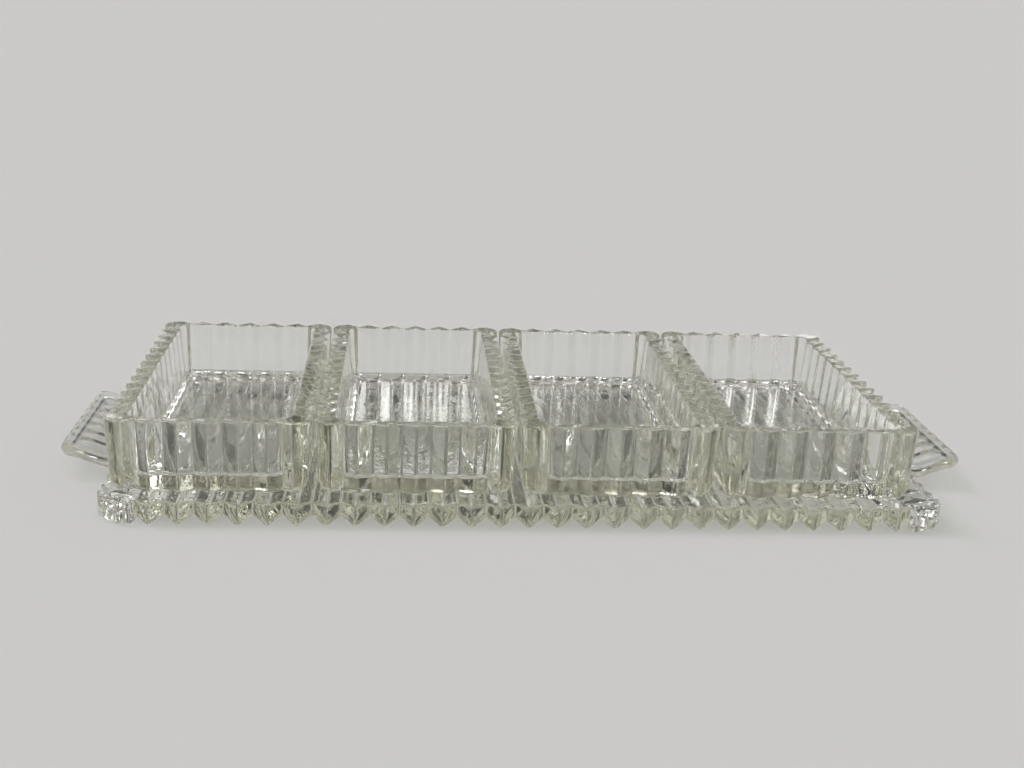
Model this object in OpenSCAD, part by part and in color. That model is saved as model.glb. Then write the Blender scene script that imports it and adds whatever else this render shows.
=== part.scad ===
// Relish tray: four ribbed pressed-glass dishes standing side by side on a
// saw-edged glass tray with a tab handle at each end.
// Millimetres, +Z up. X runs along the row of dishes and through both handles.
// The origin is in the middle of the tray's underside, on the surface it stands on.

/* [Dishes] */
// Width of one dish over its ridges, at the rim
dish_w = 76; // [60:1:100]
// Length of one dish over its ridges, at the rim
dish_l = 151; // [110:1:200]
// Height of a dish
dish_h = 28; // [22:0.5:40]
// Gap between the rims of two dishes side by side
dish_gap = 0.5; // [0.4:0.1:3]
// Thickness of a dish's floor
dish_floor = 4.5; // [3:0.1:8]
// Long walls at the rim, from the ridges to the cavity
long_wall = 8; // [6:0.1:11]
// Short walls at the rim, from the ridges to the cavity
short_wall = 6.4; // [5.2:0.1:10]
// Outward lean of the walls outside, in degrees
wall_draft = 3.5; // [2:0.5:6]
// Outward lean of the walls inside the cavity, in degrees
cavity_draft = 4.5; // [3:0.5:7]
// Radius of a dish's corner posts at the rim
post_r = 7.2; // [6.5:0.1:8.5]
// Radius of the cavity's upright corners at the rim
cavity_r = 5; // [4:0.1:8]
// Radius between the cavity's walls and its floor
cavity_fillet = 3; // [1.5:0.1:5]
// Rounding of the rim, outside and inside
rim_round = 1; // [0.4:0.1:1.5]

/* [Ribs on the dishes] */
// Pitch that the ribs come close to, fitted to whole ribs on each wall
rib_pitch = 10.8; // [8:0.1:14]
// Depth of the grooves between the ridges
rib_depth = 3.2; // [1.5:0.1:3.8]
// Rounding of the short walls' ridges at the foot
foot_round = 1; // [0.4:0.1:1.5]
// How far the long walls' ridges curve in at the foot
side_tuck = 2.2; // [1:0.1:2.6]
// How far the corner posts curve in at the foot
post_tuck = 3; // [1.6:0.1:3.6]
// Height over which the long walls and the posts curve in
tuck_h = 6; // [4:0.5:10]

/* [Tray] */
// Height of the tray's rim above the surface it stands on
tray_h = 8.4; // [7:0.1:14]
// Depth of the seat that the dishes stand in
seat_depth = 0.6; // [0.3:0.1:1.2]
// Free width of the seat beside the row of dishes, front and back
seat_side = 5.5; // [2:0.1:20]
// Least gap between the row of dishes and the seat's ends
seat_clear = 0.4; // [0.4:0.1:3]
// Flat rim between the seat and the saw edge, front and back
rim_band = 3.8; // [2:0.1:8]
// Flat rim between the seat and the tray's ends
end_band = 4.9; // [4.6:0.1:8]
// Place of the row along the tray: it stands a little to the left in the photograph
row_shift = -3.9; // [-6:0.1:6]

/* [Saw edge] */
// Pitch that the teeth come close to, fitted to whole teeth on each side
tooth_pitch = 10.7; // [8:0.1:14]
// Depth of the grooves in the upright edge
tooth_depth = 3.5; // [2:0.1:3.9]
// Height of the notches under the tray
notch_h = 2.9; // [1.5:0.1:4]
// Flat land that a tooth stands on
tooth_land = 1.2; // [0.8:0.1:3]
// Length of the notches under the tray's ends
end_notch_l = 11; // [6:0.5:20]
// Size of the rounded corner blocks
block = 14.8; // [11:0.1:20]
// Depth of the flutes round a corner block
flute_depth = 1.1; // [0.5:0.1:2]
// Rounding under the outer edge
edge_round = 1.2; // [0.6:0.1:3]

/* [Handles] */
// Reach of a handle beyond the tray's end
handle_reach = 22.2; // [15:0.1:40]
// Width of a handle
handle_w = 76; // [50:1:110]
// Thickness of a handle between its beads
handle_t = 4; // [3.4:0.1:4.6]
// Rise of a handle from its root to its tip
handle_rise = 5.4; // [2:0.1:15]
// Extra thickness of the bead round a handle's edge
bead = 1; // [0.4:0.1:2]
// Ribs under a handle
handle_ribs = 7; // [3:1:11]
// Depth of the grooves between them
handle_groove = 1.2; // [0.4:0.1:1.6]
// Radius of a handle's outer corners
handle_r = 5; // [3:0.1:9]

/* [Hidden] */

glass = [0.80, 0.85, 0.80, 0.6];
dishes = 4;
post_steps = 5;       // steps round a quarter circle on a dish
fillet_steps = 3;     // steps up the fillet inside a dish
flutes = [0, 15, 30, 60, 75, 90];  // where the flutes meet round a corner block, in degrees
flute_steps = 4;      // steps over one flute
edge_steps = 3;       // steps round the edge under the tray
field_steps = 5;      // steps along a handle's ribs
tip_turns = [0, 45, 80];  // steps round the bead at a handle's tip, in degrees
over = 1;             // how far a cutting shape runs past what it cuts

// Dishes: what their ribs and walls work out to
dish_pitch = dish_w + dish_gap;
row_l = dishes * dish_pitch - dish_gap;
short_ribs = round(dish_w / rib_pitch) - 2;
long_ribs = round(dish_l / rib_pitch) - 2;

// Tray: it follows from the row of dishes that it carries
seat_z = tray_h - seat_depth;
seat_hl = row_l / 2 - side_in(seat_depth) + abs(row_shift) + seat_clear;
seat_hw = dish_l / 2 - front_in(seat_depth) + seat_side;
seat_r = max(1, min(6, block - end_band - 0.5));
tray_hl = seat_hl + end_band;
tray_hw = seat_hw + rim_band + tooth_depth;
saw_hl = tray_hl - block;
saw_hw = tray_hw - block;
teeth_x = 2 * floor(saw_hl / tooth_pitch) + 1;
teeth_y = 2 * round(saw_hw / tooth_pitch);
pitch_x = 2 * saw_hl / teeth_x;
pitch_y = 2 * saw_hw / teeth_y;

// Handles: rooted in the tray's end, between the notches and the seat
bead_r = (handle_t + bead) / 2;
root_z = notch_h + 0.3 + bead_r;
handle_tip = tray_hl + handle_reach;
handle_field = handle_w - 4 * bead_r;

// ---------- lofts ----------

// Closed solid through rings of points. All rings have the same number of points
// and run the same way: anticlockwise as seen from the end of the loft. Both ends
// close as fans.
module loft(rings) {
    n = len(rings[0]);
    last = len(rings) - 1;
    start_hub = (last + 1) * n;
    end_hub = start_hub + 1;
    walls = [
        for (k = [0:last - 1], i = [0:n - 1])
            let (a = k * n + i, b = k * n + (i + 1) % n)
                each [[a, b + n, b], [a, a + n, b + n]]
    ];
    caps = [
        for (i = [0:n - 1])
            let (a = i, b = (i + 1) % n)
                each [[a, b, start_hub], [last * n + b, last * n + a, end_hub]]
    ];
    polyhedron(
        points = concat([for (ring = rings) each ring], [middle(rings[0]), middle(rings[last])]),
        faces = concat(walls, caps)
    );
}

function middle(points) = [for (axis = [0:2]) sum([for (p = points) p[axis]]) / len(points)];

function sum(values, from = 0) = from == len(values) ? 0 : values[from] + sum(values, from + 1);

function at_height(outline, z) = [for (p = outline) [p.x, p.y, z]];

function quarter_turns(outline, turns) =
    turns == 0 ? outline : quarter_turns([for (p = outline) [-p.y, p.x]], turns - 1);

// Whole outline from its front and right runs, each drawn as a front run that
// ends with the corner on its right.
function all_round(front, right) = concat(
    front,
    quarter_turns(right, 1),
    quarter_turns(front, 2),
    quarter_turns(right, 3)
);

// ---------- dishes ----------

function lean(z) = (dish_h - z) * tan(wall_draft);

// Front run of a dish's outline: sharp ridges between V grooves, then a round
// corner post. hl and hw are the half sizes along and across the run. ridge_in,
// groove_in and post_in say how far each of the three lies inside them.
function ribbed_run(hl, hw, ribs, ridge_in, groove_in, post_in) = concat(
    [
        for (i = [0:2 * ribs])
            let (groove = i % 2 == 0)
                [(i - ribs) * hl / (ribs + 2), -hw + (groove ? groove_in : ridge_in)]
    ],
    [
        for (i = [0:post_steps])
            let (turn = 90 * i / post_steps, r = post_r - post_in)
                [hl - post_r + r * sin(turn), -hw + post_r - r * cos(turn)]
    ]
);

function ribbed_ring(z, front, side, groove, post) = at_height(
    all_round(
        ribbed_run(dish_w / 2, dish_l / 2, short_ribs, front, groove, post),
        ribbed_run(dish_l / 2, dish_w / 2, long_ribs, side, groove, post)
    ),
    z
);

// How far a surface has curved in at height z, where it ends depth further in at
// the foot and runs straight above height h
function curve_in(z, depth, h) = z >= h ? 0 : depth * (1 - sqrt(1 - (1 - z / h) ^ 2));

// How far the ridges lie inside the rim at height z
function front_in(z) = lean(z) + curve_in(z, foot_round, foot_round);
function side_in(z) = lean(z) + curve_in(z, side_tuck, tuck_h);

// Outside, from the foot up: the grooves run straight down the leaning walls and
// the ridges and corner posts curve in to the foot.
function outside() = [
    for (z = [0, 0.3 * foot_round, foot_round, 0.45 * tuck_h, tuck_h])
        ribbed_ring(
            z,
            front_in(z),
            side_in(z),
            lean(z) + rib_depth,
            lean(z) + curve_in(z, post_tuck, tuck_h)
        )
];

// The rim, rounded outwards
function rim() = [
    for (i = [0:2])
        let (turn = 45 * i, z = dish_h - rim_round * (1 - sin(turn)))
        let (edge = lean(z) + rim_round * (1 - cos(turn)))
            ribbed_ring(z, edge, edge, edge + rib_depth, edge)
];

// Front run of the cavity's outline, point for point beside the ribbed one
function cavity_run(hl, hw, ribs) = concat(
    [for (i = [0:2 * ribs]) [(i - ribs) * (hl - cavity_r) / (ribs + 1), -hw]],
    [
        for (i = [0:post_steps])
            let (turn = 90 * i / post_steps)
                [hl - cavity_r * (1 - sin(turn)), -hw + cavity_r * (1 - cos(turn))]
    ]
);

function cavity_ring(z, extra) =
    let (inset = (dish_h - z) * tan(cavity_draft) + extra)
    let (hl = dish_w / 2 - long_wall - inset, hw = dish_l / 2 - short_wall - inset)
        at_height(all_round(cavity_run(hl, hw, short_ribs), cavity_run(hw, hl, long_ribs)), z);

// Inside, from the rim down to the floor
function inside() = concat(
    [cavity_ring(dish_h, -rim_round / 2), cavity_ring(dish_h - rim_round / 2, 0)],
    [
        for (i = [0:fillet_steps])
            let (turn = 90 * i / fillet_steps)
            let (z = dish_floor + cavity_fillet * (1 - sin(turn)))
                cavity_ring(z, cavity_fillet * (1 - cos(turn)))
    ]
);

// place counts the dishes from the left, from 0.
module dish(place) color(glass)
    translate([(place - (dishes - 1) / 2) * dish_pitch + row_shift, 0, seat_z])
        loft(concat(outside(), rim(), inside()));

module dish_left() dish(0);
module dish_centre_left() dish(1);
module dish_centre_right() dish(2);
module dish_right() dish(3);

// ---------- tray ----------

// Front run of the tray's outline: the saw edge, then a corner block with flutes.
function saw_run(hl, hw, teeth, pitch) = concat(
    [
        for (i = [0:2 * teeth - 1])
            let (groove = i % 2 == 0)
                [(i - teeth) * pitch / 2, -hw + (groove ? tooth_depth : 0)]
    ],
    [
        for (k = [0:len(flutes) - 2], i = [0:flute_steps - 1])
            let (turn = flutes[k] + (flutes[k + 1] - flutes[k]) * i / flute_steps)
            let (valley = k == 0 && i == 0 ? tooth_depth : flute_depth)
            let (r = block - valley * (1 - sin(180 * i / flute_steps)))
                [hl - block + r * sin(turn), -hw + block - r * cos(turn)]
    ]
);

module tray_outline() polygon(all_round(
    saw_run(tray_hl, tray_hw, teeth_x, pitch_x),
    saw_run(tray_hw, tray_hl, teeth_y, pitch_y)
));

// The seat's long edges follow the saw edge and its ends are straight.
module seat_outline() {
    long_edge = [
        for (i = [0:2 * teeth_x])
            let (groove = i % 2 == 0)
                [(i - teeth_x) * pitch_x / 2, -seat_hw - (groove ? 0 : tooth_depth)]
    ];
    corner = [
        for (i = [0:post_steps])
            let (turn = 90 * i / post_steps)
                [seat_hl - seat_r * (1 - sin(turn)), -seat_hw + seat_r * (1 - cos(turn))]
    ];
    half = concat([for (p = long_edge) if (abs(p.x) < seat_hl - seat_r) p], corner);
    back = [for (p = half) [p.x, -p.y]];
    right_back = [for (i = [len(back) - 1:-1:len(back) - len(corner)]) back[i]];
    run = concat(half, right_back);
    polygon(concat(run, [for (p = run) -p]));
}

// Rounded edge under the tray, from its side down to its foot, at a half size h.
function under_edge(h) = concat(
    [[h + over, tray_h + over]],
    [
        for (i = [1:edge_steps])
            let (turn = 90 * i / edge_steps)
                [h - edge_round * (1 - cos(turn)), edge_round * (1 - sin(turn))]
    ]
);

function mirrored(points) = [for (i = [len(points) - 1:-1:0]) [-points[i].x, points[i].y]];

// Side view of the tray: V flutes run from front to back under it, and the teeth
// between them stand on narrow lands.
module flute_profile() {
    slope = (pitch_x - tooth_land) / 2;
    teeth = [
        for (i = [teeth_x:-1:0])
            let (x = (i - teeth_x / 2) * pitch_x)
                each [[x + slope, 0], [x, notch_h], [x - slope, 0]]
    ];
    polygon(concat(under_edge(tray_hl), teeth, mirrored(under_edge(tray_hl))));
}

// End view: only its rounded edges cut the slab.
module edge_profile() polygon(concat(
    under_edge(tray_hw),
    [[tray_hw - 2 * edge_round, -over], [-tray_hw + 2 * edge_round, -over]],
    mirrored(under_edge(tray_hw))
));

// Short V notch that rises from the seat's end to full height at the tray's end.
module end_notch() {
    tilt = atan(notch_h / end_notch_l);
    half = pitch_y / 2 / cos(tilt);
    translate([tray_hl - end_notch_l, 0, 0])
        rotate([0, -tilt, 0])
            rotate([90, 0, 90])
                linear_extrude(end_notch_l + 4 * over)
                    polygon([[-half, -notch_h], [half, -notch_h], [0, 0]]);
}

module slab() difference() {
    intersection() {
        translate([0, 0, -over])
            linear_extrude(tray_h + over)
                tray_outline();
        rotate([90, 0, 0])
            linear_extrude(2 * tray_hw + 2 * over, center = true)
                flute_profile();
        rotate([90, 0, 90])
            linear_extrude(2 * tray_hl + 2 * over, center = true)
                edge_profile();
    }
    translate([0, 0, seat_z])
        linear_extrude(seat_depth + over)
            seat_outline();
    for (side = [0, 1], i = [0:teeth_y])
        mirror([side, 0, 0])
            translate([0, (i - teeth_y / 2) * pitch_y, 0])
                end_notch();
}

// ---------- handles ----------

// Height of a handle's middle, x along the tray: a smooth sweep up to the tip
function sweep_z(x) =
    let (share = max(0, min(1, (x - tray_hl) / handle_reach)))
        root_z + handle_rise * (1 - cos(180 * share)) / 2;

// Half width of a handle at x: straight sides and rounded outer corners
function half_width(x) =
    let (past = max(0, x - (handle_tip - handle_r)))
        handle_w / 2 - handle_r + sqrt(max(0, handle_r ^ 2 - past ^ 2));

// Cross-section at x: flat on top, V grooves below, and a round bead at both
// sides. half_t is half the thickness between the beads, and bead_half is the
// radius of the beads there.
function handle_ring(x, half_t, bead_half, groove) =
    let (scale_y = half_width(x) / (handle_w / 2), side_y = handle_w / 2 - bead_r)
    let (pitch = handle_field / handle_ribs)
    let (under = [
        for (i = [0:2 * handle_ribs])
            let (is_groove = i % 2 == 0 && i > 0 && i < 2 * handle_ribs)
                [(i - handle_ribs) * pitch / 2, -half_t + (is_groove ? groove : 0)]
    ])
    let (side = [
        for (i = [0:4])
            let (turn = 45 * i)
                [side_y + bead_r * sin(turn), -bead_half * cos(turn)]
    ])
    let (top = [[handle_field / 2, half_t], [-handle_field / 2, half_t]])
    let (ring = concat(under, side, top, mirrored(side)))
        [for (p = ring) [x, p.x * scale_y, sweep_z(x) + p.y]];

module handle() {
    bead_x = handle_tip - 2 * bead_r;
    root = [
        for (x = [tray_hl - (end_band + tooth_depth) / 2, tray_hl])
            handle_ring(x, handle_t / 2, bead_r, 0)
    ];
    field = [
        for (i = [1:field_steps])
            let (x = tray_hl + i * (bead_x - tray_hl) / field_steps)
                handle_ring(x, handle_t / 2, bead_r, i < field_steps ? handle_groove : 0)
    ];
    tip = [
        for (turn = tip_turns)
            let (x = handle_tip - bead_r * (1 - sin(turn)), r = bead_r * cos(turn))
                handle_ring(x, r, r, 0)
    ];
    loft(concat(root, field, tip));
}

module tray() color(glass) {
    slab();
    handle();
    mirror([1, 0, 0])
        handle();
}

tray();
dish_left();
dish_centre_left();
dish_centre_right();
dish_right();
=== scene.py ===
import math

import bmesh
import bpy
from mathutils import Matrix, Vector

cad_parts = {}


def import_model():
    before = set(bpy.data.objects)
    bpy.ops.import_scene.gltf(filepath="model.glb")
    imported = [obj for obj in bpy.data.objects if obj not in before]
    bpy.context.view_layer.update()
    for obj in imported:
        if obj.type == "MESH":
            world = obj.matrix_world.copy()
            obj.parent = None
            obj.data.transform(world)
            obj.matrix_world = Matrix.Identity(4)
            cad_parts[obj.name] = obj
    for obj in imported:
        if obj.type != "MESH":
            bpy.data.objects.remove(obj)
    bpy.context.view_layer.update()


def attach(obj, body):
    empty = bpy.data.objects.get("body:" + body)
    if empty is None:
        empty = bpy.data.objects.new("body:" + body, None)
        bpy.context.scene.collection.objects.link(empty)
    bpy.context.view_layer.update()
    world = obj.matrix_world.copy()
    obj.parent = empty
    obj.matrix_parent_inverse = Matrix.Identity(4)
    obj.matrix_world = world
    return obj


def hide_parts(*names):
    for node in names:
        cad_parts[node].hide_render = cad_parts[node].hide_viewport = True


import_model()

MM = 0.001
# The finer meshes stay this far inside the CAD surfaces that touch others, in mm
PROOF = 0.04

# ---------- sizes, repeated from the part's source, in mm ----------

DISH_W, DISH_L, DISH_H = 76.0, 151.0, 28.0
DISH_PITCH, ROW_SHIFT = 76.5, -3.9
FLOOR, LONG_WALL, SHORT_WALL = 4.5, 8.0, 6.4
WALL_DRAFT, CAVITY_DRAFT = math.radians(3.5), math.radians(4.5)
POST_R, CAVITY_R, FILLET = 7.2, 5.0, 3.0
SHORT_RIBS, LONG_RIBS, RIB_DEPTH = 5, 12, 3.2
FOOT_ROUND, SIDE_TUCK, POST_TUCK, TUCK_H = 1.0, 2.2, 3.0, 6.0

TRAY_HL, TRAY_HW, TRAY_H = 159.033, 86.541, 8.4
SEAT_HL, SEAT_HW, SEAT_Z, SEAT_R = 154.133, 79.241, 7.8, 6.0
BLOCK, TOOTH_DEPTH, FLUTE_DEPTH = 14.8, 3.5, 1.1
TEETH_X, TEETH_Y, NOTCH_H, LAND = 27, 14, 2.9, 1.2
END_NOTCH_L = 11.0
FLUTES = (0, 15, 30, 60, 75, 90)

HANDLE_REACH, HANDLE_W, HANDLE_T, HANDLE_RISE = 22.2, 76.0, 4.0, 5.4
BEAD_R, HANDLE_RIBS, HANDLE_GROOVE, HANDLE_R = 2.5, 7, 1.2, 5.0
ROOT_Z = NOTCH_H + 0.3 + BEAD_R
TOP = SEAT_Z + DISH_H

# ---------- trim that only the finer meshes have, in mm ----------

RIDGE_REACH, GROOVE_REACH, POST_REACH = 0.95, 0.7, 0.9  # rounding of the dishes' ribs
RIM_R, INNER_RIM_R = 1.1, 0.9
RIM_DIP = 0.7  # how far the rim's top falls at the grooves
INNER_DIP = RIM_DIP * 0.7
GROOVE_TUCK, GROOVE_TUCK_H = 0.6, 0.8  # rounding of the grooves at the foot
FOOT_R, FOOT_HOLLOW = 4.0, 0.35
TOOTH_REACH, VALLEY_REACH, BLOCK_REACH = 0.8, 0.6, 0.5  # rounding of the saw edge
EDGE_TOP_R, EDGE_FOOT_R = 0.8, 1.0
VALLEY_ROUND, LAND_ROUND = 0.45, 0.25
NUB = 0.3  # how far the handle's outer edge stands out at each rib
HANDLE_ROOT = 4.2  # how far the handle's mesh runs into the slab


# ---------- outlines ----------

def lerp(a, b, t):
    return a + (b - a) * t


def mix(p, q, t):
    return tuple(lerp(a, b, t) for a, b in zip(p, q))


def turned(points, turns):
    for _ in range(turns % 4):
        points = [(-y, x) for x, y in points]
    return points


def all_round(front, right):
    """Whole outline from its front and right runs, anticlockwise from above."""
    return front + turned(right, 1) + turned(front, 2) + turned(right, 3)


ARC_STEPS = 4
MOST_OF_ARM = 0.42


def soften(points, reach, between):
    """Closed outline with each corner turned into a short arc, point for point the same
    on every ring. reach gives the arc's reach at each corner, 0 keeps the corner, and
    between points are added to each straight."""
    out = []
    n = len(points)
    for i in range(n):
        before, here, after = points[i - 1], points[i], points[(i + 1) % n]
        r = reach[i]
        if r == 0:
            out.append(here)
            last = here
        else:
            arms = []
            for other in (before, after):
                length = math.dist(here, other)
                arms.append(mix(here, other, min(MOST_OF_ARM, r / max(length, 1e-6))))
            for k in range(ARC_STEPS + 1):
                t = k / ARC_STEPS
                out.append(mix(mix(arms[0], here, t), mix(here, arms[1], t), t))
            last = arms[1]
        r_next = reach[(i + 1) % n]
        stop = after
        if r_next:
            length = math.dist(here, after)
            stop = mix(after, here, min(MOST_OF_ARM, r_next / max(length, 1e-6)))
        for k in range(1, between + 1):
            out.append(mix(last, stop, k / (between + 1)))
    return out


# ---------- dishes ----------

POST_STEPS = 10
RIM_STEPS = 6
FILLET_STEPS = 8
FLOOR_RING = 6  # how far inside the fillet the floor's last ring lies


def quarter(steps):
    """Angles from 0 to a right angle."""
    return [math.pi / 2 * i / (steps - 1) for i in range(steps)]


def lean(z):
    return (DISH_H - z) * math.tan(WALL_DRAFT)


def post(hl, hw, r, r_centre):
    """Arc of radius r at the outline's front right corner, seen from r_centre inside."""
    return [
        (hl - r_centre + r * math.sin(a), -hw + r_centre - r * math.cos(a))
        for a in quarter(POST_STEPS + 1)
    ]


def ribbed_run(hl, hw, ribs, ridge_in, groove_in, post_in):
    run = [
        ((i - ribs) * hl / (ribs + 2), -hw + (ridge_in if i % 2 else groove_in))
        for i in range(2 * ribs + 1)
    ]
    return run + post(hl, hw, POST_R - post_in, POST_R)


def ribbed_reach(ribs):
    run = [RIDGE_REACH if i % 2 else GROOVE_REACH for i in range(2 * ribs + 1)]
    return run + [POST_REACH] + [0] * (POST_STEPS - 1) + [POST_REACH]


RIBBED_REACH = (ribbed_reach(SHORT_RIBS) + ribbed_reach(LONG_RIBS)) * 2


def groove_share(ribs):
    """1 at the points of a run that lie in a groove, 0 at the others."""
    return [(i + 1) % 2 for i in range(2 * ribs + 1)] + [0] * (POST_STEPS + 1)


GROOVES = (groove_share(SHORT_RIBS) + groove_share(LONG_RIBS)) * 2


def dish_ring(outline, z, dip):
    """Ring at height z that dips at the grooves."""
    points = [(x, y, z - dip * groove) for (x, y), groove in zip(outline, GROOVES)]
    return soften(points, RIBBED_REACH, between=1)


def ribbed_ring(z, front_in, side_in, groove_in, post_in, dip=0.0):
    """Outer ring of a dish. The four insets are those of the ridges in front, the
    ridges at the sides, the grooves and the posts."""
    front = ribbed_run(DISH_W / 2, DISH_L / 2, SHORT_RIBS, front_in, groove_in, post_in)
    right = ribbed_run(DISH_L / 2, DISH_W / 2, LONG_RIBS, side_in, groove_in, post_in)
    return dish_ring(all_round(front, right), z, dip)


def cavity_run(hl, hw, ribs, r):
    run = [((i - ribs) * (hl - r) / (ribs + 1), -hw) for i in range(2 * ribs + 1)]
    return run + post(hl, hw, r, r)


def plain_ring(hl, hw, r, z, dip):
    """Ring with smooth sides, point for point the same as a ribbed ring."""
    front, right = cavity_run(hl, hw, SHORT_RIBS, r), cavity_run(hw, hl, LONG_RIBS, r)
    return dish_ring(all_round(front, right), z, dip)


def cavity_ring(z, extra, dip=0.0):
    inset = (DISH_H - z) * math.tan(CAVITY_DRAFT) + extra
    hl, hw = DISH_W / 2 - LONG_WALL - inset, DISH_L / 2 - SHORT_WALL - inset
    return plain_ring(hl, hw, CAVITY_R, z, dip)


def foot_ring(z, inset):
    return plain_ring(DISH_W / 2 - inset, DISH_L / 2 - inset, FOOT_R, z, 0.0)


def curve_in(z, depth, h):
    """Inset at height z of an edge that is rounded over depth and h."""
    return 0 if z >= h else depth * (1 - math.sqrt(max(0, 1 - (1 - z / h) ** 2)))


# Rings of a dish from below: inset and height under its foot, then heights of its sides
FOOT_RINGS = ((16.0, FOOT_HOLLOW), (9.5, FOOT_HOLLOW), (8.4, FOOT_HOLLOW * 0.8), (7.0, PROOF))
SIDE_RINGS = (PROOF, 0.1, 0.25, 0.5, 0.8, 1.2, 1.8, 2.6, 3.6, 4.8, 6.0, 15.0)


def dish_rings():
    """Rings from the middle of the underside, over the rim, to the middle of the floor.
    The underside is slightly hollow, so it touches the tray as a ring."""
    rings = [foot_ring(z, inset) for inset, z in FOOT_RINGS]
    for z in SIDE_RINGS:
        front = lean(z) + curve_in(z, FOOT_ROUND, FOOT_ROUND)
        side = lean(z) + curve_in(z, SIDE_TUCK, TUCK_H)
        groove = lean(z) + RIB_DEPTH + curve_in(z, GROOVE_TUCK, GROOVE_TUCK_H)
        corner = lean(z) + curve_in(z, POST_TUCK, TUCK_H)
        rings.append(ribbed_ring(z, front, side, groove, corner))
    for a in quarter(RIM_STEPS):
        z = DISH_H - RIM_R * (1 - math.sin(a))
        edge = lean(z) + RIM_R * (1 - math.cos(a))
        dip = RIM_DIP * math.sin(a)
        rings.append(ribbed_ring(z, edge, edge, edge + RIB_DEPTH, edge, dip))
    for a in quarter(RIM_STEPS):
        z = DISH_H - INNER_RIM_R * (1 - math.cos(a))
        rings.append(cavity_ring(z, INNER_RIM_R * (math.sin(a) - 1), INNER_DIP * math.cos(a)))
    for a in quarter(FILLET_STEPS):
        z = FLOOR + FILLET * (1 - math.sin(a))
        rings.append(cavity_ring(z, FILLET * (1 - math.cos(a))))
    rings.append(cavity_ring(FLOOR, FILLET + FLOOR_RING))
    return rings


# ---------- tray ----------

SAW_HL, SAW_HW = TRAY_HL - BLOCK, TRAY_HW - BLOCK
PITCH_X, PITCH_Y = 2 * SAW_HL / TEETH_X, 2 * SAW_HW / TEETH_Y
LOBE_STEPS = 10
BLOCK_STEPS = LOBE_STEPS * (len(FLUTES) - 1)
SEAT_ARC_STEPS = 12


def saw_run(hl, hw, teeth, pitch, inset):
    """Front run of the tray's edge: saw teeth, then a corner block with flutes."""
    run = [
        ((i - teeth) * pitch / 2, -hw + inset + (0 if i % 2 else TOOTH_DEPTH))
        for i in range(2 * teeth)
    ]
    for a, b in zip(FLUTES, FLUTES[1:]):
        for i in range(LOBE_STEPS):
            share = i / LOBE_STEPS
            turn = math.radians(lerp(a, b, share))
            valley = FLUTE_DEPTH * (1 - math.sin(math.pi * share))
            if a == 0:  # the block's first and last flutes run out into the saw edge
                valley += (TOOTH_DEPTH - FLUTE_DEPTH) * max(0, 1 - 4 * share)
            if b == 90:
                valley += (TOOTH_DEPTH - FLUTE_DEPTH) * max(0, 4 * share - 3)
            r = BLOCK - inset - valley
            run.append((hl - BLOCK + r * math.sin(turn), -hw + BLOCK - r * math.cos(turn)))
    return run


def saw_reach(teeth):
    run = [TOOTH_REACH if i % 2 else VALLEY_REACH for i in range(2 * teeth)]
    return run + [BLOCK_REACH] + [0.0] * (BLOCK_STEPS - 1)


SAW_REACH = (saw_reach(TEETH_X) + saw_reach(TEETH_Y)) * 2
SAW_BETWEEN = 3


def tray_plan(inset):
    front = saw_run(TRAY_HL, TRAY_HW, TEETH_X, PITCH_X, inset)
    right = saw_run(TRAY_HW, TRAY_HL, TEETH_Y, PITCH_Y, inset)
    return soften(all_round(front, right), SAW_REACH, between=SAW_BETWEEN)


def along(path, share):
    """Point at a share of a polyline's length."""
    lengths = [math.dist(a, b) for a, b in zip(path, path[1:])]
    left = share * sum(lengths)
    for a, b, length in zip(path, path[1:], lengths):
        if left <= length:
            return mix(a, b, left / max(length, 1e-9))
        left -= length
    return path[-1]


def seat_plan(inset):
    """Seat outline, inset mm inside its edge, point for point the same as the edge."""
    hl, hw, r = SEAT_HL - inset, SEAT_HW - inset, SEAT_R
    arc = [
        (hl - r + r * math.sin(a), -hw + r - r * math.cos(a))
        for a in quarter(SEAT_ARC_STEPS + 1)
    ]
    corner = [(SAW_HL, -hw)] + arc + [(hl, -SAW_HW)]
    front = [
        ((i - TEETH_X) * PITCH_X / 2, -hw - (TOOTH_DEPTH if i % 2 else 0))
        for i in range(2 * TEETH_X)
    ]
    front += [along(corner, k / BLOCK_STEPS) for k in range(BLOCK_STEPS)]
    right = [((i - TEETH_Y) * PITCH_Y / 2, -hl) for i in range(2 * TEETH_Y)]
    mirrored_corner = [(-y, -x) for x, y in corner[::-1]]
    right += [along(mirrored_corner, k / BLOCK_STEPS) for k in range(BLOCK_STEPS)]
    return soften(all_round(front, right), SAW_REACH, between=SAW_BETWEEN)


def smooth_max(a, b, k):
    h = max(0.0, k - abs(a - b)) / k
    return max(a, b) + h * h * k / 4


def notch_z(away, slope):
    """Height of a V notch, away from its line, with its top and its lands rounded."""
    if away < VALLEY_ROUND:
        away = away * away / (2 * VALLEY_ROUND) + VALLEY_ROUND / 2
    return smooth_max(NOTCH_H * (1 - away / slope), 0.0, LAND_ROUND)


def flute_z(x):
    """Height of the underside at x: V flutes between narrow rounded lands."""
    if abs(x) > SAW_HL:
        return 0.0
    off = abs((x / PITCH_X + 0.5) % 1 - 0.5) * PITCH_X  # 0 in the middle of a tooth
    return notch_z(PITCH_X / 2 - off, (PITCH_X - LAND) / 2)


def end_z(y):
    """Height of the notches at the tray's ends."""
    if abs(y) > SAW_HW:
        return 0.0
    return notch_z(abs((y / PITCH_Y + 0.5) % 1 - 0.5) * PITCH_Y, PITCH_Y / 2)


BLOCK_MARGIN = 2  # saw teeth lie at least this far outside the blocks' inner corners
NEAR = 0.01
SHORTEST_NOTCH = 0.4


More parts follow.
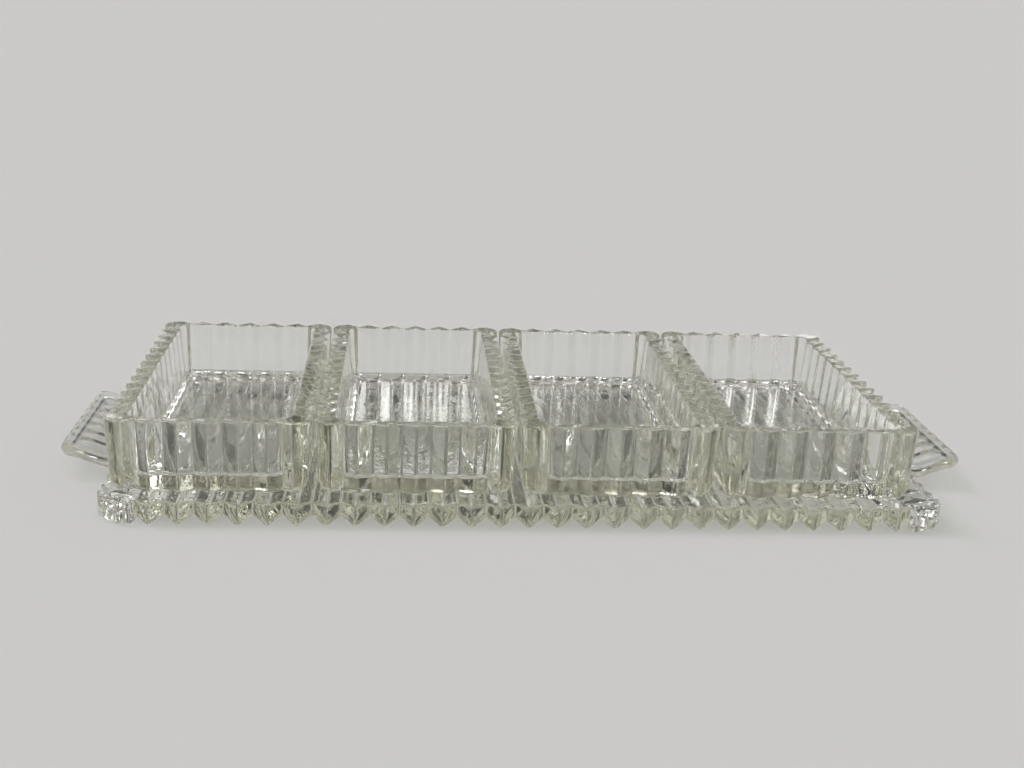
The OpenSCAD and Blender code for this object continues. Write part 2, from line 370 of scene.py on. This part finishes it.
def edge_z(x, y):
    if abs(y) > SAW_HW + BLOCK_MARGIN and abs(x) <= SAW_HL:
        return flute_z(x)
    if abs(x) > SAW_HL + BLOCK_MARGIN and abs(y) <= SAW_HW:
        return end_z(y)
    return 0.0


def add_ring(bm, points):
    return [bm.verts.new((x * MM, y * MM, z * MM)) for x, y, z in points]


def bridge(bm, low, high):
    """Faces between two rings. Where the rings share a vertex, a quad is a triangle."""
    n = len(low)
    for i in range(n):
        j = (i + 1) % n
        quad = []
        for v in (low[i], low[j], high[j], high[i]):
            if v not in quad:
                quad.append(v)
        if len(quad) > 2:
            bm.faces.new(quad)


def lofted(name, rings):
    bm = bmesh.new()
    made = [add_ring(bm, ring) for ring in rings]
    for low, high in zip(made, made[1:]):
        bridge(bm, low, high)
    bm.faces.new(list(reversed(made[0])))
    bm.faces.new(made[-1])
    return finished(name, bm)


def finished(name, bm):
    bmesh.ops.recalc_face_normals(bm, faces=bm.faces)
    for f in bm.faces:
        f.smooth = True
    mesh = bpy.data.meshes.new(name)
    bm.to_mesh(mesh)
    bm.free()
    piece = bpy.data.objects.new(name, mesh)
    bpy.context.scene.collection.objects.link(piece)
    return piece


# Insets and heights of the seat's edge, which is slightly sloped and rounded
SEAT_RINGS = (
    (0.30, SEAT_Z),
    (0.18, SEAT_Z + 0.05),
    (0.0, SEAT_Z + 0.3),
    (-0.18, TRAY_H - 0.05),
    (-0.30, TRAY_H),
)
EDGE_STEPS = 6


def slab(name):
    """Tray without its handles: seat, border, saw edge and fluted underside."""
    bm = bmesh.new()
    seat = [add_ring(bm, [(x, y, z) for x, y in seat_plan(inset)]) for inset, z in SEAT_RINGS]
    bm.faces.new(seat[0])
    for inner, outer in zip(seat, seat[1:]):
        bridge(bm, outer, inner)
    rings = [seat[-1]]
    for a in quarter(EDGE_STEPS):
        inset, z = EDGE_TOP_R * (1 - math.sin(a)), TRAY_H - EDGE_TOP_R * (1 - math.cos(a))
        rings.append(add_ring(bm, [(x, y, z) for x, y in tray_plan(inset)]))
    edge = tray_plan(0)
    for a in quarter(EDGE_STEPS):
        plan = tray_plan(EDGE_FOOT_R * (1 - math.cos(a)))
        rise = EDGE_FOOT_R * (1 - math.sin(a))
        ring = [(x, y, edge_z(*over) + rise) for (x, y), over in zip(plan, edge)]
        rings.append(add_ring(bm, ring))
    for outer, inner in zip(rings, rings[1:]):
        bridge(bm, inner, outer)
    underside(bm, rings[-1], edge)
    return finished(name, bm)


def underside(bm, ring, plan):
    """Long strips from front to back, short notches at the ends, and flat lands."""
    def chosen(test, key):
        found = [i for i, (x, y) in enumerate(plan) if test(x, y)]
        return sorted(found, key=lambda i: key(*plan[i]))

    saw_hl, saw_hw = SAW_HL + NEAR, SAW_HW + NEAR
    front, back = [
        chosen(
            lambda x, y: y * end > SAW_HW + BLOCK_MARGIN and abs(x) <= saw_hl,
            lambda x, y: x,
        )
        for end in (-1, 1)
    ]
    strips = list(zip(front, back))
    for (f0, b0), (f1, b1) in zip(strips, strips[1:]):
        bm.faces.new((ring[f0], ring[b0], ring[b1], ring[f1]))
    for side in (-1, 1):
        run = chosen(
            lambda x, y: x * side > SAW_HL + BLOCK_MARGIN and abs(y) <= saw_hw,
            lambda x, y: y,
        )
        inner = []
        for i in run:
            x, y, _ = ring[i].co / MM
            reach = max(SHORTEST_NOTCH, END_NOTCH_L * end_z(plan[i][1]) / NOTCH_H)
            inner.append(bm.verts.new(((x - side * reach) * MM, y * MM, 0.0)))
        for k in range(len(run) - 1):
            bm.faces.new((ring[run[k]], inner[k], inner[k + 1], ring[run[k + 1]]))
        corners = []
        taken = set(front + back + run)
        for end in (-1, 1):
            corners.append([i for i in chosen(
                lambda x, y: y * end > 0 and x * side > 0,
                lambda x, y: -end * math.atan2(side * x - SAW_HL, end * y - SAW_HW),
            ) if i not in taken])
        last = -1 if side > 0 else 0
        outline = [front[last]] + corners[0] + [run[0]]
        flat = [ring[i] for i in outline] + inner
        flat += [ring[i] for i in [run[-1]] + corners[1] + [back[last]]]
        bm.faces.new(flat)


# ---------- handles ----------

def sweep_z(x):
    share = max(0.0, min(1.0, (x - TRAY_HL) / HANDLE_REACH))
    return ROOT_Z + HANDLE_RISE * (1 - math.cos(math.pi * share)) / 2


TIP = TRAY_HL + HANDLE_REACH
RIB_STEPS = 12
BEAD_STEPS = 12
SWEEP_STEPS = 16
FADE_STEPS = 3
BEAD_RISE_STEPS = 4
TIP_TURNS = (15, 30, 45, 60, 72, 82)
GROOVE_TOP = 0.8  # share of its depth from which a groove is flatter


def half_width(x):
    past = max(0.0, x - (TIP - HANDLE_R))
    return HANDLE_W / 2 - HANDLE_R + math.sqrt(max(0.0, HANDLE_R ** 2 - past ** 2))


def handle_ring(x, half_t, bead_half, groove):
    """Section of the right handle: grooves underneath, a bead at each side."""
    field = HANDLE_W / 2 - 2 * BEAD_R
    scale = half_width(x) / (HANDLE_W / 2)
    side_y = HANDLE_W / 2 - BEAD_R
    under = []
    for i in range(HANDLE_RIBS * RIB_STEPS + 1):
        share = i / (HANDLE_RIBS * RIB_STEPS)
        phase = share * HANDLE_RIBS
        off = abs(phase - round(phase)) * 2 if 0 < round(phase) < HANDLE_RIBS else 1.0
        depth = max(0.0, 1 - off)
        depth = depth if depth < GROOVE_TOP else GROOVE_TOP + (depth - GROOVE_TOP) * 0.5
        under.append((lerp(-field, field, share), -half_t + groove * depth))
    side = []
    for i in range(BEAD_STEPS + 1):
        a = math.pi * i / BEAD_STEPS
        side.append((side_y + BEAD_R * math.sin(a), -bead_half * math.cos(a)))
    top = [(-y, half_t) for y, _ in under]
    ring = under + side + top + [(-y, z) for y, z in reversed(side)]
    out = []
    push = max(0.0, (x - TIP + 2 * BEAD_R) / (2 * BEAD_R))
    for y, z in ring:
        phase = (y + field) / (2 * field) * HANDLE_RIBS
        nub = math.sin(math.pi * phase) ** 2 if 0 < phase < HANDLE_RIBS else 0.0
        out.append((x - NUB * push * (1 - nub), y * scale, sweep_z(x) + z))
    return out


def handle(name, side):
    """Tab handle with a bead round its edge. side is -1 for the left one."""
    rings = []
    half = HANDLE_T / 2
    bead_x = TIP - 2 * BEAD_R
    for x in (TRAY_HL - HANDLE_ROOT, TRAY_HL):
        rings.append(handle_ring(x, half, BEAD_R, 0.0))
    for i in range(1, SWEEP_STEPS + 1):
        x = lerp(TRAY_HL, bead_x, i / SWEEP_STEPS)
        fade = min(1.0, i / FADE_STEPS, (SWEEP_STEPS - i) / FADE_STEPS)
        rings.append(handle_ring(x, half, BEAD_R, HANDLE_GROOVE * fade))
    for i in range(1, BEAD_RISE_STEPS + 1):
        share = i / BEAD_RISE_STEPS
        x, rise = lerp(bead_x, TIP - BEAD_R, share), share * share * (3 - 2 * share)
        rings.append(handle_ring(x, lerp(half, BEAD_R, rise), BEAD_R, 0.0))
    for turn in TIP_TURNS:
        a = math.radians(turn)
        x, r = TIP - BEAD_R * (1 - math.sin(a)), BEAD_R * math.cos(a)
        rings.append(handle_ring(x, r, r, 0.0))
    if side < 0:
        rings = [[(-x, -y, z) for x, y, z in ring] for ring in rings]
    return lofted(name, rings)


def joined(piece, tools):
    """The piece with the tools melted into it."""
    for tool in tools:
        mod = piece.modifiers.new("join", "BOOLEAN")
        mod.operation, mod.solver, mod.object = "UNION", "EXACT", tool
        bpy.context.view_layer.update()
        graph = bpy.context.evaluated_depsgraph_get()
        mesh = bpy.data.meshes.new_from_object(piece.evaluated_get(graph))
        piece.modifiers.clear()
        old = piece.data
        piece.data = mesh
        bpy.data.meshes.remove(old)
        bpy.data.objects.remove(tool)
    piece.data.name = piece.name


# ---------- materials ----------

GLASS_COLOR = (0.985, 0.99, 0.98, 1)
GLASS_IOR = 1.5
# Light from the lamps and the studio passes straight through the glass in this colour
CLEAR_COLOR = (0.90, 0.903, 0.89, 1)
# Bumps: noise scale, its step from piece to piece, detail, strength, depth in metres.
# The stipple's strength then follows the height.
WAVE = (90, 1, 2.0, 0.12, 0.0008)
RIPPLE = (300, 5, 1.0, 0.10, 0.0003)
STIPPLE = (700, 11, 0.0, 1.0, 0.0003)
# The waviness from its low to its high end gives the roughness
WAVE_ENDS, ROUGHNESS = (0.3, 0.7), (0.0, 0.002)
# Heights in mm and the stipple's strengths there. On a dish it is strong on the floor
# and the rim, and weak on the walls.
TRAY_STIPPLE = ((0.0, 0.03), (TRAY_H, 0.03))
DISH_STIPPLE = (
    (SEAT_Z + FLOOR + 0.4, 0.12),
    (SEAT_Z + FLOOR + 1.2, 0.03),
    (31.5, 0.03),
    (34.0, 0.15),
)
# Colours that the glass takes with thickness, and how quickly it takes them
TRAY_TINT, TRAY_DENSITY = (0.80, 0.80, 0.52), 4.0
DISH_TINT, DISH_DENSITY = (0.86, 0.85, 0.72), 12.0


def glass(name, tint, density, stipple, seed):
    """Clear pressed glass. Its waviness, fine ripple and stipple are bumps, and its
    colour deepens with thickness."""
    mat = bpy.data.materials.new(name)
    mat.use_nodes = True
    nodes, links = mat.node_tree.nodes, mat.node_tree.links
    shader = nodes["Principled BSDF"]
    shader.inputs["Base Color"].default_value = GLASS_COLOR
    shader.inputs["Transmission Weight"].default_value = 1.0
    shader.inputs["IOR"].default_value = GLASS_IOR
    coords = nodes.new("ShaderNodeTexCoord")

    def noise(scale, detail):
        node = nodes.new("ShaderNodeTexNoise")
        node.inputs["Scale"].default_value = scale
        node.inputs["Detail"].default_value = detail
        links.new(coords.outputs["Object"], node.inputs["Vector"])
        return node.outputs["Fac"]

    def spread(value, start, end, low, high):
        node = nodes.new("ShaderNodeMapRange")
        sockets = ("From Min", "From Max", "To Min", "To Max")
        for socket, number in zip(sockets, (start, end, low, high)):
            node.inputs[socket].default_value = number
        links.new(value, node.inputs["Value"])
        return node.outputs["Result"]

    def by_height(stops):
        """Value that changes with height."""
        parts = nodes.new("ShaderNodeSeparateXYZ")
        links.new(coords.outputs["Object"], parts.inputs["Vector"])
        ramp = nodes.new("ShaderNodeValToRGB")
        links.new(spread(parts.outputs["Z"], 0.0, TOP * MM, 0.0, 1.0), ramp.inputs["Fac"])
        for _ in stops[2:]:
            ramp.color_ramp.elements.new(0.5)
        for stop, (z, level) in zip(ramp.color_ramp.elements, stops):
            stop.position, stop.color = z / TOP, (level, level, level, 1)
        return ramp.outputs["Color"]

    normal, heights = None, []
    for scale, step, detail, strength, distance in (WAVE, RIPPLE, STIPPLE):
        heights.append(noise(scale + step * seed, detail))
        bump = nodes.new("ShaderNodeBump")
        bump.inputs["Strength"].default_value = strength
        bump.inputs["Distance"].default_value = distance
        links.new(heights[-1], bump.inputs["Height"])
        if normal:
            links.new(normal, bump.inputs["Normal"])
        normal = bump.outputs["Normal"]
    links.new(by_height(stipple), bump.inputs["Strength"])
    links.new(normal, shader.inputs["Normal"])
    links.new(spread(heights[0], *WAVE_ENDS, *ROUGHNESS), shader.inputs["Roughness"])
    # Rays that look for light go straight through, so that the floor below is lit.
    clear = nodes.new("ShaderNodeBsdfTransparent")
    clear.inputs["Color"].default_value = CLEAR_COLOR
    path = nodes.new("ShaderNodeLightPath")
    surface = shader.outputs["BSDF"]
    for kind in ("Is Diffuse Ray", "Is Shadow Ray"):
        through = nodes.new("ShaderNodeMixShader")
        links.new(path.outputs[kind], through.inputs[0])
        links.new(surface, through.inputs[1])
        links.new(clear.outputs["BSDF"], through.inputs[2])
        surface = through.outputs["Shader"]
    links.new(surface, nodes["Material Output"].inputs["Surface"])
    depth = nodes.new("ShaderNodeVolumeAbsorption")
    depth.inputs["Color"].default_value = (*tint, 1)
    depth.inputs["Density"].default_value = density
    links.new(depth.outputs["Volume"], nodes["Material Output"].inputs["Volume"])
    return mat


# ---------- pieces ----------

DISHES = ("dish_left", "dish_centre_left", "dish_centre_right", "dish_right")
NORMAL_WEIGHT = 60  # keeps the slab's flat faces flat in the shading

tray_glass = glass("tray_glass", TRAY_TINT, TRAY_DENSITY, TRAY_STIPPLE, 0)
for place, node in enumerate(DISHES):
    dx = (place - 1.5) * DISH_PITCH + ROW_SHIFT
    rings = [[(x + dx, y, z + SEAT_Z) for x, y, z in ring] for ring in dish_rings()]
    piece = lofted(node + "_glass", rings)
    seed = 3 * place + 4
    piece.data.materials.append(
        glass(node + "_glass", DISH_TINT, DISH_DENSITY, DISH_STIPPLE, seed))
    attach(piece, node)
    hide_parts(node)

tray = slab("tray_pressing")
joined(tray, [handle("handle_left", -1), handle("handle_right", 1)])
tray.data.materials.clear()
tray.data.materials.append(tray_glass)
weighted = tray.modifiers.new("normals", "WEIGHTED_NORMAL")
weighted.weight = NORMAL_WEIGHT
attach(tray, "tray")
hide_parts("tray")


# ---------- floor, light, camera ----------

GROUND_REACH, GROUND_Z = 150.0, -0.0001  # in metres, just clear of the tray's teeth
GROUND_COLOR, GROUND_ROUGHNESS = (0.56, 0.555, 0.545, 1), 0.9


def ground():
    """Pale floor that runs out to the horizon."""
    bm = bmesh.new()
    reach = GROUND_REACH
    around = ((-reach, -reach), (reach, -reach), (reach, reach), (-reach, reach))
    bm.faces.new([bm.verts.new((x, y, GROUND_Z)) for x, y in around])
    floor = finished("floor", bm)
    mat = bpy.data.materials.new("floor")
    mat.use_nodes = True
    shader = mat.node_tree.nodes["Principled BSDF"]
    shader.inputs["Base Color"].default_value = GROUND_COLOR
    shader.inputs["Roughness"].default_value = GROUND_ROUGHNESS
    shader.inputs["Specular IOR Level"].default_value = 0.0
    floor.data.materials.append(mat)


def sun_light(name, towards, strength, angle, seen):
    """Lamp in a direction. Its angle, in degrees, softens the shadow, and seen says
    whether the glass shows the lamp's own disc."""
    data = bpy.data.lights.new(name, "SUN")
    data.cycles.use_multiple_importance_sampling = seen
    data.energy, data.angle = strength, math.radians(angle)
    lamp = bpy.data.objects.new(name, data)
    bpy.context.scene.collection.objects.link(lamp)
    lamp.rotation_euler = Vector(towards).to_track_quat("Z", "Y").to_euler()


STUDIO_STRENGTH = 0.8
# The studio's level by the sine of the height above the horizon: a backdrop as pale as
# the floor, dim walls and a dim ceiling, which give the glass its dark lines
STUDIO = (
    (0.0, 0.716),
    (0.10, 0.716),
    (0.14, 0.05),
    (0.30, 0.06),
    (0.37, 0.07),
    (0.6, 0.15),
    (1.0, 0.20),
)
STUDIO_WARMTH = 0.01
BOX_EDGE = 0.02  # how soft the soft boxes' edges are
# Soft boxes: direction, half width, half height, level
BOXES = (
    ((-0.72, 0.50, 0.62), 0.20, 0.10, 4.0),
    ((0.78, 0.30, 0.50), 0.08, 0.22, 1.8),
    ((-0.10, -0.72, 0.70), 0.14, 0.12, 1.7),
    ((0.05, 0.20, 1.0), 0.30, 0.10, 4.6),
    ((-0.45, -0.25, 0.85), 0.06, 0.22, 4.6),
    ((0.45, -0.20, 0.85), 0.06, 0.22, 4.6),
    ((0.10, 0.65, 0.75), 0.25, 0.05, 4.6),
    ((-0.97, -0.25, 0.22), 0.06, 0.14, 4.0),
    ((0.97, -0.15, 0.20), 0.06, 0.14, 3.0),
    ((0.30, 0.95, 0.26), 0.04, 0.12, 2.6),
    ((-0.25, 0.95, 0.26), 0.04, 0.12, 2.4),
    ((0.65, 0.75, 0.20), 0.04, 0.10, 4.0),
    ((-0.65, 0.75, 0.20), 0.04, 0.10, 3.0),
)


def world():
    """Studio with its soft boxes."""
    made = bpy.data.worlds.new("studio")
    bpy.context.scene.world = made
    made.use_nodes = True
    nodes, links = made.node_tree.nodes, made.node_tree.links
    coords = nodes.new("ShaderNodeTexCoord")
    parts = nodes.new("ShaderNodeSeparateXYZ")
    ramp = nodes.new("ShaderNodeValToRGB")
    for place, level in STUDIO[1:-1]:
        ramp.color_ramp.elements.new(place)
    for stop, (place, level) in zip(ramp.color_ramp.elements, STUDIO):
        stop.position = place
        stop.color = (level * (1 + STUDIO_WARMTH), level, level * (1 - STUDIO_WARMTH), 1)
    links.new(coords.outputs["Generated"], parts.inputs["Vector"])
    links.new(parts.outputs["Z"], ramp.inputs["Fac"])

    def math_node(kind, a, b):
        node = nodes.new("ShaderNodeMath")
        node.operation = kind
        for socket, value in zip(node.inputs, (a, b)):
            if isinstance(value, float):
                socket.default_value = value
            else:
                links.new(value, socket)
        return node.outputs[0]

    def across(axis):
        """How far a direction points along an axis."""
        node = nodes.new("ShaderNodeVectorMath")
        node.operation = "DOT_PRODUCT"
        links.new(coords.outputs["Generated"], node.inputs[0])
        node.inputs[1].default_value = axis
        return node.outputs["Value"]

    def inside(value, half):
        """1 where the value lies within half of 0."""
        node = nodes.new("ShaderNodeMapRange")
        node.interpolation_type = "SMOOTHSTEP"
        node.inputs["From Min"].default_value = half + BOX_EDGE
        node.inputs["From Max"].default_value = half - BOX_EDGE
        links.new(math_node("ABSOLUTE", value, 0.0), node.inputs["Value"])
        return node.outputs["Result"]

    total = None
    for towards, half_w, half_h, level in BOXES:
        ahead = Vector(towards).normalized()
        side = ahead.cross(Vector((0, 0, 1))).normalized()
        within = inside(across(side), half_w), inside(across(side.cross(ahead)), half_h)
        box = math_node("MULTIPLY", *within)
        facing = math_node("GREATER_THAN", across(ahead), 0.0)
        box = math_node("MULTIPLY", math_node("MULTIPLY", box, facing), float(level))
        total = box if total is None else math_node("ADD", total, box)
    lift = nodes.new("ShaderNodeMix")
    lift.data_type, lift.blend_type = "RGBA", "ADD"
    lift.inputs["Factor"].default_value = 1.0
    links.new(ramp.outputs["Color"], lift.inputs[6])
    links.new(total, lift.inputs[7])
    links.new(lift.outputs[2], nodes["Background"].inputs["Color"])
    nodes["Background"].inputs["Strength"].default_value = STUDIO_STRENGTH


# Camera fitted to the photograph: its place in dish pitches from the row's middle, its
# turn, fall and roll, and its focal length in pixels of the frame
CAMERA = (-0.571839, -7.504647, 2.595527)
YAW, PITCH, ROLL = 0.0796034, 0.2843882, 0.0400478
FOCAL, FRAME_W, SENSOR_W = 1426.004, 1024, 36.0
NEAREST, FARTHEST = 0.01, 300.0  # what the camera sees, in metres


def camera():
    x, y, z = (number * DISH_PITCH for number in CAMERA)
    place = Vector((x + ROW_SHIFT, y, z)) * MM
    flat = math.cos(PITCH)
    forward = Vector((math.sin(YAW) * flat, math.cos(YAW) * flat, -math.sin(PITCH)))
    level = Vector((math.cos(YAW), -math.sin(YAW), 0))
    above = level.cross(forward)
    right = level * math.cos(ROLL) + above * math.sin(ROLL)
    up = above * math.cos(ROLL) - level * math.sin(ROLL)
    data = bpy.data.cameras.new("camera")
    data.sensor_width = SENSOR_W
    data.lens = FOCAL / FRAME_W * SENSOR_W
    data.clip_start, data.clip_end = NEAREST, FARTHEST
    cam = bpy.data.objects.new("camera", data)
    bpy.context.scene.collection.objects.link(cam)
    axes = Matrix((right, up, -forward)).transposed()
    cam.matrix_world = Matrix.Translation(place) @ axes.to_4x4()
    bpy.context.scene.camera = cam


ground()
world()
camera()
sun_light("key", (-0.55, 0.45, 0.9), strength=1.9, angle=8, seen=False)
sun_light("flash", (0.10, -0.85, 0.55), strength=0.35, angle=4, seen=True)

scene = bpy.context.scene
scene.view_settings.view_transform = "Standard"
# Light bounces many times inside the glass, also off its inner faces
scene.cycles.max_bounces = 32
scene.cycles.transmission_bounces = 32
scene.cycles.glossy_bounces = 24
scene.cycles.diffuse_bounces = 2
scene.cycles.transparent_max_bounces = 24
scene.cycles.caustics_reflective = False
